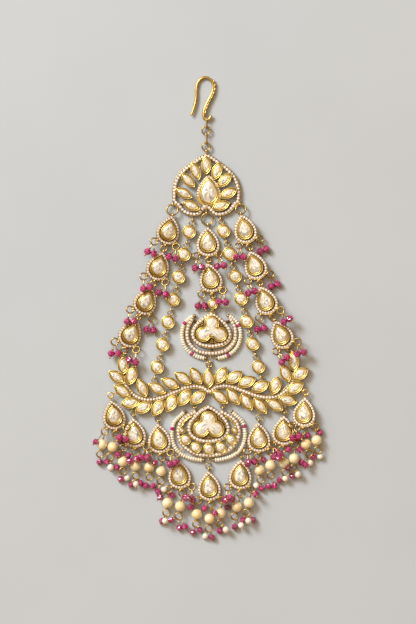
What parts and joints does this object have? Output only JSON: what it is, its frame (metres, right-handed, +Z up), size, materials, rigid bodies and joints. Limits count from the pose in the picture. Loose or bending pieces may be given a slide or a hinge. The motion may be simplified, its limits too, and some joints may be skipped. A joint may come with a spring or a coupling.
{
  "type": "passa jhoomar headpiece",
  "caption": "Fan-shaped side headpiece of gilt settings: a hair hook and lotus plate carry strands, two medallions, a leaf garland and a pearl fringe.",
  "frame": {"origin": "on the surface that it lies on, under the middle of its outline", "axes": "+Z up out of the surface through the stones' tables, +Y from the fringe toward the hook, +X to the right"},
  "size_m": [0.0902, 0.1822, 0.0063],
  "materials": {
    "antique_gold": "burnished antique gilt",
    "gold_wire": "drawn gilt wire",
    "kundan_stone": "foiled cut glass",
    "ruby_bead": "polished",
    "cream_pearl": "pearl lustre",
    "seed_pearl": "pearl lustre"
  },
  "bodies": {
    "root": {"hook": "gold_wire", "hook_links": "gold_wire", "lotus_frame": "antique_gold", "lotus_centre_stone": "kundan_stone", "lotus_petal_stones": "kundan_stone", "upper_medallion_frame": "antique_gold", "upper_medallion_stone": "kundan_stone", "lower_medallion_frame": "antique_gold", "lower_medallion_stone": "kundan_stone", "lower_medallion_small_stones": "kundan_stone", "pearl_strings": "seed_pearl", "leaf_bar_frame": "antique_gold", "leaf_bar_stones": "kundan_stone", "inner_chain_left": "antique_gold", "inner_chain_right": "antique_gold", "chain_stones": "kundan_stone", "centre_link": "antique_gold", "jump_rings": "gold_wire", "ruby_drop_rings": "gold_wire", "ruby_drop_beads": "ruby_bead", "pearl_drop_rings": "gold_wire", "fringe_pearls": "cream_pearl", "pear_left_1": "antique_gold", "pear_left_2": "antique_gold", "pear_left_3": "antique_gold", "pear_left_4": "antique_gold", "pear_right_1": "antique_gold", "pear_right_2": "antique_gold", "pear_right_3": "antique_gold", "pear_right_4": "antique_gold", "pear_centre_1": "antique_gold", "pear_centre_2": "antique_gold", "pear_fringe_1": "antique_gold", "pear_fringe_2": "antique_gold", "pear_fringe_3": "antique_gold", "pear_fringe_4": "antique_gold", "pear_fringe_5": "antique_gold", "pear_fringe_6": "antique_gold", "pear_fringe_7": "antique_gold", "pear_fringe_8": "antique_gold", "pear_fringe_9": "antique_gold", "stone_left_1": "kundan_stone", "stone_left_2": "kundan_stone", "stone_left_3": "kundan_stone", "stone_left_4": "kundan_stone", "stone_right_1": "kundan_stone", "stone_right_2": "kundan_stone", "stone_right_3": "kundan_stone", "stone_right_4": "kundan_stone", "stone_centre_1": "kundan_stone", "stone_centre_2": "kundan_stone", "stone_fringe_1": "kundan_stone", "stone_fringe_2": "kundan_stone", "stone_fringe_3": "kundan_stone", "stone_fringe_4": "kundan_stone", "stone_fringe_5": "kundan_stone", "stone_fringe_6": "kundan_stone", "stone_fringe_7": "kundan_stone", "stone_fringe_8": "kundan_stone", "stone_fringe_9": "kundan_stone"}
  },
  "joints": []
}
